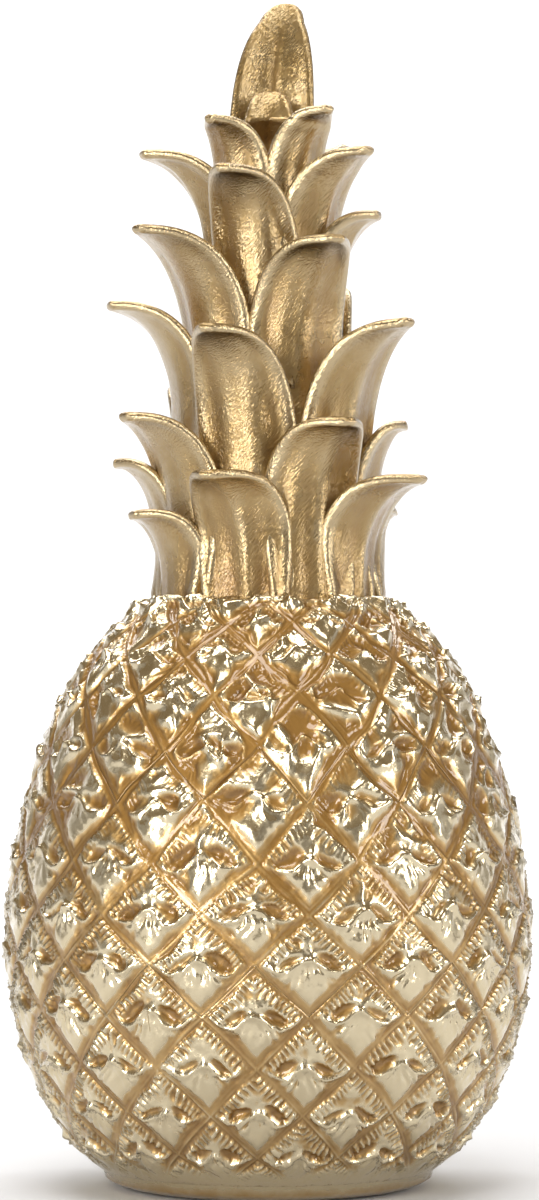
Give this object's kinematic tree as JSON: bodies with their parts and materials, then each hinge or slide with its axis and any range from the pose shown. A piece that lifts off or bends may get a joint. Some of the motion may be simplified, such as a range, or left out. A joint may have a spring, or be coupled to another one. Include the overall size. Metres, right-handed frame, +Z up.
{
  "type": "pineapple ornament",
  "caption": "Standing pineapple ornament, one gold-lacquered casting: a body of carved diamond scales under a tall crown of curling leaves, flat underneath.",
  "frame": {"origin": "centre of the flat underside", "axes": "+Z up through the crown, -Y towards the viewer of the picture, +X to that viewer's right"},
  "size_m": [0.1126, 0.1126, 0.254],
  "materials": {
    "gold_lacquered_resin": "pale champagne-gold metallic lacquer over cast polyresin, satin on the leaves and glossier on the scales"
  },
  "bodies": {
    "root": {"pineapple_ornament": "gold_lacquered_resin"}
  },
  "joints": []
}
